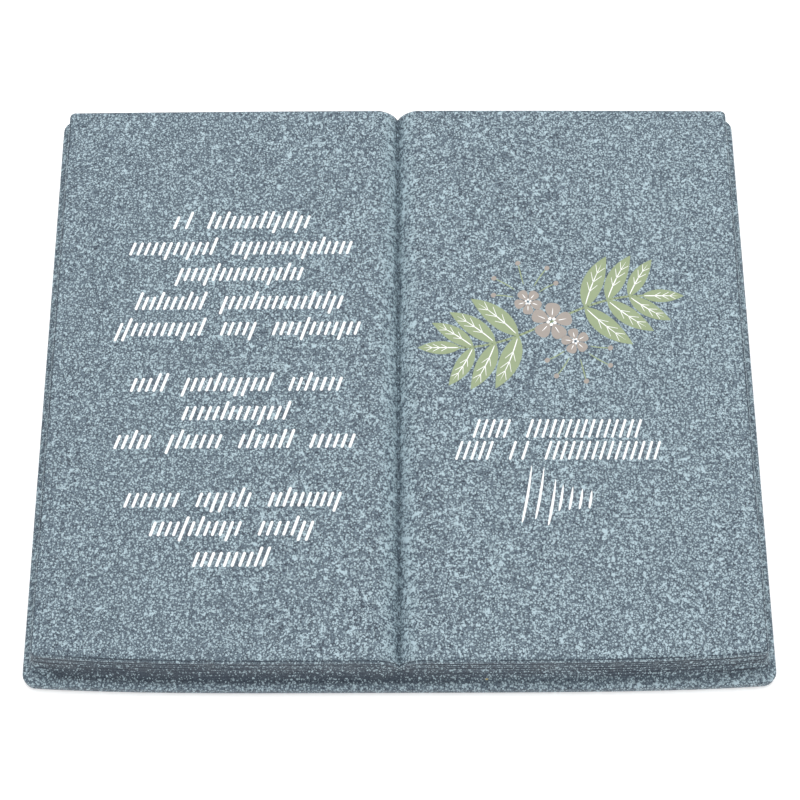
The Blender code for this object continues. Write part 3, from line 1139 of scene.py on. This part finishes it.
def bud_fan(across_mm, along_mm, heading):
    """Five fine stalks that fan out from a small blossom, each with a round bud at its end."""
    base = np.tile(SPRAY_MIDDLE + np.array([across_mm, along_mm]) * MM, (len(BUD_TURNS), 1))
    angle = math.radians(heading) + BUD_TURNS
    bend = STALK_BEND * np.sign(BUD_TURNS)
    stalks = blade_outlines(base, angle, BUD_REACH, STALK_HALF_WIDTH, bend,
                            STALK_NEAR, STALK_FAR, STALK_START, STALK_STOP)
    tip = middle_line(base, angle, BUD_REACH, bend, [1.0])[:, 0]
    buds = round_dots(tip, BUD_RADIUS)
    return stalks, buds


stalks, buds = (np.concatenate(parts) for parts in zip(*[bud_fan(*row) for row in BUD_FANS]))
print(len(buds), "buds")

# %% Print the pages
print_piece("white_printing", [film_of(tick_outlines), film_of(flourish), film_of(midribs, VEINS_LAYER),
                               film_of(veins, VEINS_LAYER), film_of(creases, CREASES_LAYER),
                               film_of(dots, DOTS_LAYER)], white_ink)
print_piece("sage_printing", [film_of(stem), film_of(stalks), film_of(leaves, LEAVES_LAYER)],
            sage_ink)
print_piece("taupe_printing", [film_of(petals, PETALS_LAYER), film_of(buds, PETALS_LAYER)],
            taupe_ink)

# %% [markdown]
# Floor and light
#
# The plaque is shown on plain white, lit softly from above and a little from the rear. The floor is a sheet
# that glows faintly, like a photographer's light table, so hardly any shadow shows on it. One wide area light
# gives soft light, and a pale world fills in from all round, so no side goes black.

# %% Floor
FLOOR_HALF = 2.0
FLOOR_DROP = 0.2 * MM
FLOOR_GLOW = 0.30
FLOOR_COLOUR = (0.95, 0.95, 0.95, 1.0)
FLOOR_ROUGHNESS = 0.9
WHITE_LIGHT = (1.0, 1.0, 1.0, 1.0)


def add_floor():
    """A wide flat sheet just under the plaque. Its own faint glow washes out the shadow on it."""
    corners = np.array([[-1, -1], [1, -1], [1, 1], [-1, 1]]) * FLOOR_HALF
    below = np.full(len(corners), -FLOOR_DROP)
    floor = piece_from("floor", np.column_stack([corners, below]), [[0, 1, 2, 3]])
    sheet = Recipe("white_floor")
    sheet.shader.inputs["Emission Color"].default_value = WHITE_LIGHT
    sheet.shader.inputs["Emission Strength"].default_value = FLOOR_GLOW
    floor.data.materials.append(sheet.finish(FLOOR_COLOUR, FLOOR_ROUGHNESS))


add_floor()
print("floor", 2 * FLOOR_HALF, "m wide")

# %% Lights
WORLD_LIGHT = 0.725
SOFTBOX_WATTS = 11.0
SOFTBOX_SIZE = 1.2
SOFTBOX_PLACE = np.array([0.0, 0.32, 1.20])


def add_softbox():
    """A wide area light that faces the plaque. A light shines along its own minus Z."""
    light = bpy.data.lights.new("softbox", "AREA")
    light.energy = SOFTBOX_WATTS
    light.size = SOFTBOX_SIZE
    softbox = bpy.data.objects.new("softbox", light)
    back = SOFTBOX_PLACE / np.linalg.norm(SOFTBOX_PLACE)
    right = np.cross([0.0, 1.0, 0.0], back)
    right = right / np.linalg.norm(right)
    place = Matrix.Identity(4)
    for column, direction in enumerate((right, np.cross(back, right), back, SOFTBOX_PLACE)):
        place.col[column][:3] = direction
    softbox.matrix_world = place
    bpy.context.scene.collection.objects.link(softbox)


def add_world():
    """Even white light from all round."""
    world = bpy.data.worlds.new("pale_room")
    world.use_nodes = True
    world.node_tree.nodes["Background"].inputs["Color"].default_value = WHITE_LIGHT
    world.node_tree.nodes["Background"].inputs["Strength"].default_value = WORLD_LIGHT
    bpy.context.scene.world = world


add_softbox()
add_world()
bpy.context.scene.view_settings.view_transform = "Standard"
print("world", WORLD_LIGHT, "and a softbox of", SOFTBOX_WATTS, "W")
